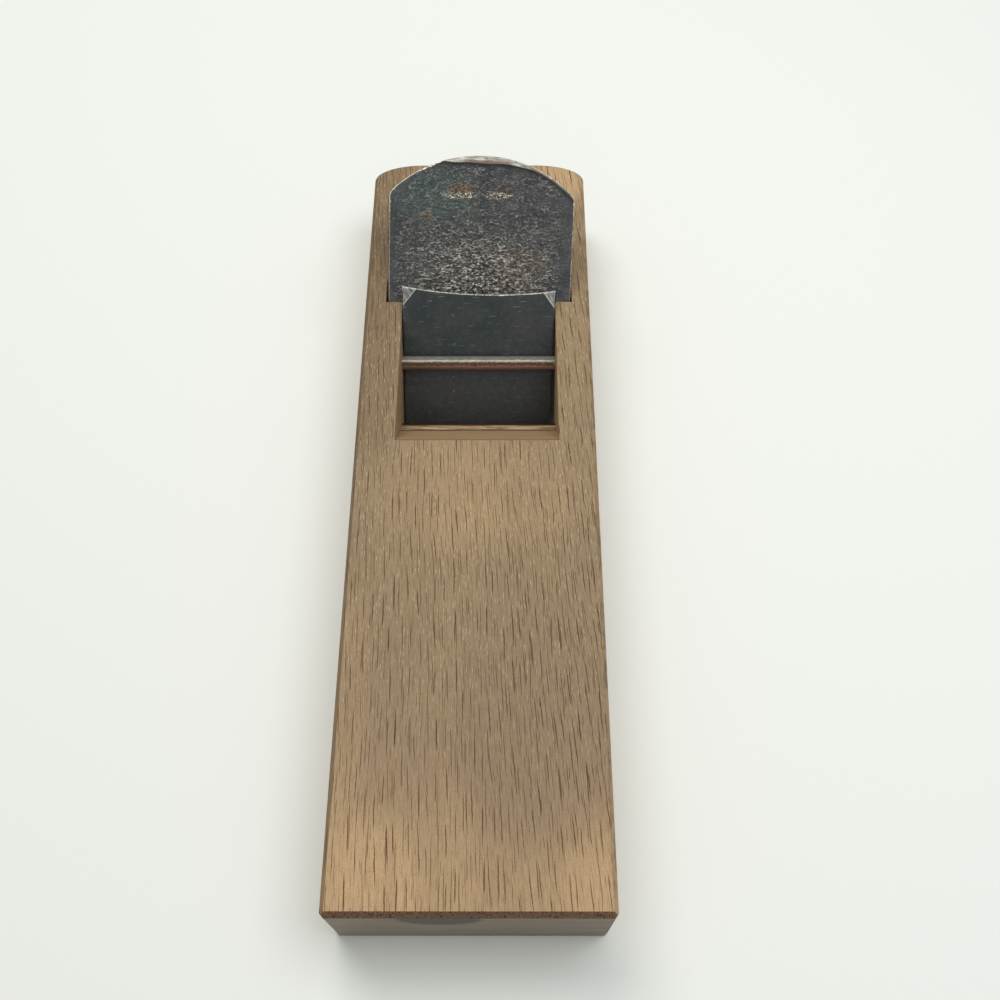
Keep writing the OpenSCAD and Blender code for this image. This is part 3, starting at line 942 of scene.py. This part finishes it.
def hone(node, name, hollow_end):
    """Makes a steel layer bright at its edge, dull in its hollow and stained above."""
    steel = material(name)
    place = place_mm(steel)
    across, up, out = face_place(steel)
    strokes = cloud(joined(across * 0.1, up, out), (0.6, 0.12, 0.12), rough=0.6)
    stains = cloud(place, 5.0, detail=4.0, rough=0.6)
    hollow = step(out, -0.02, -0.12) * step(out, -1.0, -0.6) * step(up, hollow_end, hollow_end - 1.0)
    stained = step(up, 7.0, 13.0)
    tone = blend(step(strokes, 0.3, 0.7), (150, 152, 152), (186, 188, 187))
    tone = tinted(tone, stains, 0.5, 0.72, 0.4, (112, 100, 86))
    tone = blend(hollow * 0.8, tone, blend(stains, (74, 76, 79), (106, 107, 108)))
    tone = blend(stained * 0.9, tone, blend(step(stains, 0.3, 0.7), (52, 53, 54), (82, 78, 73)))
    rough = 0.22 + hollow * 0.2 + stained * 0.3 + (strokes - 0.5) * 0.15
    shine = 0.9 - stained * 0.4
    honed = coat(steel, tone, rough, relief(strokes, 0.01), Metallic=shine)
    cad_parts[node].material_slots[0].material = honed


hone("blade_steel", "honed_blade_steel", hollow_end=48.0)


# The chipbreaker is a forged plate whose two upper corners are bent down as
# ears and ground to press it on the blade's face. Its nose has a steel layer.
# Its sizes too are in millimetres, measured from the blade's cutting edge.
breaker_half = 26.9
breaker_foot = 2.045
breaker_top = 58.1
breaker_dip = 2.0  # how far its upper end is hollowed in the middle
breaker_nose = ((1.42, 0.62), (5.42, 1.9))  # the ends of the nose's ground slope, up and out
breaker_end_height = 5.0
breaker_layer = 0.82
breaker_layer_end = 23.0
breaker_layer_runout = 0.9
breaker_layer_slope = 1.164
breaker_flat_end = 2.5  # the nose lies flat on the blade up to here
breaker_gap = 0.02
ear_wide = 5.2
ear_long = 10.0
ear_drop = 1.2
ear_spread = tan(radians(11.0))
ears_free = 54.83  # above this the ears stand clear of the throat and spread


def breaker_edge(up, side):
    """Place of the left (-1) or right (1) edge: tapped over, but clear of the throat."""
    own_up = side * breaker_half * sin(blade_cant) + up * cos(blade_cant)
    own, upright = (
        side * (breaker_half + ear_spread * np.maximum(height - ears_free, 0)) for height in (own_up, up)
    )
    slanted = (own + up * sin(blade_cant)) / cos(blade_cant) + blade_shift
    return side * np.minimum(side * slanted, side * upright)


def past_ear_line(across, up):
    """How far a place lies past the line where an ear is bent, towards the corner."""
    x, y = blade_head(across, up)
    length = (ear_wide ** 2 + ear_long ** 2) ** 0.5
    return ((np.abs(x) - breaker_half + ear_wide) * ear_long + (y - breaker_top) * ear_wide) / length


def breaker_plan(inset):
    """Grid over the plate, from its nose up to the hollowed upper end."""

    def spread(up):
        left, right = breaker_edge(up, -1) + inset, breaker_edge(up, 1) - inset
        return left + share_across * (right - left)

    share_across = np.linspace(0, 1, 152)
    sag_radius = (breaker_half ** 2 + breaker_dip ** 2) / (2 * breaker_dip)
    end = np.full_like(share_across, breaker_top)

    # The end's height and the spread of the ears depend on each other, so they settle together.
    for _ in range(3):
        x, _ = blade_head(spread(end), end)
        own_end = breaker_top - breaker_dip + sag_radius - np.sqrt(sag_radius ** 2 - x ** 2)
        end = (np.minimum(own_end, breaker_top) - inset - x * tan(blade_cant)) * cos(blade_cant)
    low_rows = [breaker_foot, 3.2, 4.3, breaker_nose[1][0], 9.0, 14.0, 19.0, breaker_layer_end]
    rows = [np.full_like(share_across, row) for row in low_rows]
    rows += [low_rows[-1] + share * (end - low_rows[-1]) for share in np.linspace(0, 1, 100)[1:]]
    up = np.array(rows)
    return spread(up), up


def breaker_plate(up):
    """Height of the plate's flat upper face, which thickens towards its end."""
    nose_up, nose_out = breaker_nose[1]
    return nose_out + (up - nose_up) * ((breaker_end_height - nose_out) / (breaker_top - nose_up))


def ear_face(across, up):
    depth = ear_wide * ear_long / (ear_wide ** 2 + ear_long ** 2) ** 0.5
    return breaker_end_height - np.maximum(past_ear_line(across, up), 0) * ear_drop / depth


def breaker_front(across, up):
    (low_up, low_out), (high_up, high_out) = breaker_nose
    nose = low_out + (up - low_up) * (high_out - low_out) / (high_up - low_up)
    body = np.minimum(np.minimum(breaker_plate(up), nose), ear_face(across, up))
    dents = np.minimum(value_noise(across, up, (8.0, 6.0), seed=71), 0)
    return body + 0.03 * dents * ease(up, 6, 10)


def breaker_back(across, up):
    """The underside: on the steel layer at the nose, then hollow, with the ears' feet."""
    ease_off = ear_drop / (breaker_top - breaker_flat_end)
    eased = breaker_gap + ease_off * np.maximum(up - breaker_flat_end, 0)
    foot = ease(past_ear_line(across, up), 0.0, 0.15)
    layer = breaker_layer - np.maximum(up - breaker_layer_end, 0) * breaker_layer_slope
    layer = np.where(up < breaker_layer_end + breaker_layer_runout, layer, 0)
    return np.maximum(layer, eased * (1 - foot) + breaker_gap * foot)


def breaker_rounding(across, up):
    nick = np.clip(value_noise(across, up, (1.6, 1.6), seed=83), 0, 1)
    at_end = ease(up, breaker_top - 3.8, breaker_top - 2.6)
    return (0.16 + 0.3 * at_end + 0.2 * nick) * ease(up, breaker_foot, 8.0) + least_round


def breaker_marks(points):
    """How deep the ears' faces are ground, as a share of their full depth."""
    full_depth = 0.25
    across, up, out = points.T
    ground = (breaker_plate(up) - ear_face(across, up)) / full_depth
    return {"ground": np.where(out > 2.2, ground, -1)}


def ground_ears(place, across, up, out, ground):
    """The ears' ground faces keep the stone's lines, and shine where they begin."""
    brush_place = joined(across + up * 0.5, up - across * 0.5, out)
    brush = cloud(brush_place, (0.25, 3.0, 1.0), rough=0.6)
    bare = blend(step(brush, 0.35, 0.65), (74, 76, 75), (164, 163, 157))
    return tinted(bare, abs(ground - 0.25), 0.35, 0.1, 0.6, (200, 199, 192))


def oxidised_finish():
    """Blue-black oxide with a few scratches and flaws; towards the nose it is painted paler grey, as painted
    light in the throat's shade.
    """
    oxide = material("oxidised_iron")
    place = place_mm(oxide)
    across, up, out = face_place(oxide)
    ground, worn = mark(oxide, "ground"), mark(oxide, "worn")
    patches = cloud(place, 8.0, detail=3.0, rough=0.6)
    mottle = cloud(place, 1.8, detail=3.0, rough=0.6)
    grain = cloud(place, 0.5, rough=0.6)
    tone = blend(step(patches, 0.3, 0.7), (42, 50, 51), (60, 61, 60))
    # Painted light: paler grey towards the nose, making up for the shade inside the throat.
    tone = tinted(tone, up, 34.0, 26.0, 0.7, (66, 65, 64))
    tone = tinted(tone, mottle, 0.5, 0.8, 0.4, (84, 88, 86))
    tone = tinted(tone, mottle, 0.5, 0.25, 0.4, (38, 39, 40))
    tone = tinted(tone, grain, 0.55, 0.8, 0.3, (96, 96, 92))
    scratch_across, scratch_up = across + up * 0.4, up + mottle * 0.5
    scratches, scratch_chance = staggered_flecks(scratch_up, scratch_across, 1.7, 4.0, 0.09, seed=5.0)
    fresh = step(scratch_chance, 0.65, 1.0) * (0.15 + step(up, 42.0, 50.0) * 0.35)
    tone = blend(scratches * fresh, tone, (150, 160, 158))
    flaws, flaw_chance = specks(across + mottle, up, (8.0, 6.0), 0.05, seed=29.0)
    tone = blend(flaws * step(flaw_chance, 0.6, 1.0) * 0.45, tone, (132, 132, 126))
    tone = tinted(tone, ground, 0.0, 0.15, 0.9, ground_ears(place, across, up, out, ground))

    # The edges are rubbed bright, most of all round the upper end.
    chips = step(cloud(place, 0.8, detail=3.0, rough=0.65), 0.38, 0.6)
    at_end = step(up, 49.0, 53.0)
    bright = step(worn, 0.6, 0.94) * (0.25 + chips * 0.75) * (0.12 + at_end * 0.8)
    tone = blend(bright, tone, (198, 197, 190))
    rough = 0.5 + (patches - 0.5) * 0.25 - bright * 0.1
    bump = relief(grain * 0.5 + mottle, 0.025)
    return coat(oxide, tone, rough, bump, Metallic=0.5)


breaker_mesh = forged_slab(
    "chipbreaker_body", breaker_plan, breaker_front, breaker_back, breaker_rounding, breaker_marks
)
add_piece(breaker_mesh, "chipbreaker", oxidised_finish(), "chipbreaker_iron")
hone("chipbreaker_steel", "honed_nose_steel", hollow_end=22.0)


# The cross pin is a plain round rod of mild steel, driven through both cheeks.
# Its upper side is rubbed grey with a painted highlight band, and its front is brown with rust mixed with a
# painted reflection of the wood.
pin_low, pin_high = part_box("cross_pin")
pin_centre = (pin_low + pin_high) / 2
pin_radius = (pin_high.z - pin_low.z) / 2
pin_half = (pin_high.x - pin_low.x) / 2
pin_chamfer = 0.4 * mm


def build_pin():
    """A turned rod, dented and seamed where it shows between the cheeks."""
    around, along = 56, 170
    turn = np.arange(around) / around * 2 * pi
    arc = turn * pin_radius / mm
    tip = np.full(around, pin_radius - pin_chamfer)
    rings = [(-pin_half, tip)]
    for x in np.linspace(-pin_half + pin_chamfer, pin_half - pin_chamfer, along):
        here = np.full(around, x / mm)
        dent = value_noise(here, arc, (2.2, 1.3), seed=97)
        seam = value_noise(here, arc, (0.6, 0.5), seed=101)
        exposed = ease(np.abs(x), pin_half * 0.69, pin_half * 0.66)
        sunk = np.clip(dent, 0, 1) * 0.00004 + np.clip(seam, 0, 1) * 0.00002
        rings.append((x, pin_radius - sunk * exposed))
    rings.append((pin_half, tip))
    points = [
        (pin_centre.x + x, pin_centre.y + radius * cos(angle), pin_centre.z + radius * sin(angle))
        for x, radii in rings
        for radius, angle in zip(radii, turn)
    ]
    starts = [number * around for number in range(len(rings))]
    faces = [
        (start + around + n, start + around + (n + 1) % around, start + (n + 1) % around, start + n)
        for start in starts[:-1]
        for n in range(around)
    ]
    faces.append(tuple(range(around)))
    faces.append(tuple(starts[-1] + n for n in reversed(range(around))))
    mesh = bpy.data.meshes.new("cross_pin_rod")
    mesh.from_pydata(points, [], faces)
    return mesh


def pin_finish():
    steel = material("worn_steel")
    place = place_mm(steel)
    x, y, z = parts_of(place)
    off_y = (y - pin_centre.y / mm) / (pin_radius / mm)
    off_z = (z - pin_centre.z / mm) / (pin_radius / mm)
    front = off_y * -0.81 + off_z * -0.59  # 1 where the rod faces the near end, and downwards
    mottle = cloud(place, (1.6, 0.6, 0.6), detail=3.0, rough=0.6)
    grit = cloud(place, (0.4, 0.3, 0.3), rough=0.6)
    turned = front + (grit - 0.5) * 1.0 + (mottle - 0.5) * 0.4
    between = step(abs(x), 28.0, 26.5)  # the length between the cheeks
    # A painted highlight: a pale broken band where the rod's upper front would catch the light.
    painted_highlight = step(front + (mottle - 0.5) * 0.25, -0.42, -0.32) * (0.35 + step(grit, 0.38, 0.6) * 0.6)
    tone = blend(step(mottle, 0.3, 0.7), (92, 91, 80), (116, 114, 103))
    tone = blend(painted_highlight * between, tone, (222, 214, 192))
    tone = blend(step(turned, -0.24, -0.02) * between, tone, (78, 58, 40))

    # The lower front is rust mixed with a painted reflection of the wood, yellowish to the left and redder
    # to the right.
    redder = step(x + mottle * 8.0, -20.0, 2.0)
    rust_and_wood_reflection = blend(redder, (146, 118, 92), (182, 130, 118))
    rust_and_wood_reflection = tinted(rust_and_wood_reflection, grit, 0.5, 0.75, 0.6, (90, 64, 48))
    tone = blend(step(turned, 0.3, 0.48) * between * 0.95, tone, rust_and_wood_reflection)
    rust = step(turned, -0.1, 0.05) * between
    rough = 0.6 + rust * 0.1 + (grit - 0.5) * 0.2
    return coat(steel, tone, rough, relief(grit + mottle, 0.03), Metallic=0.15)


add_piece(build_pin(), "block", pin_finish(), "cross_pin")
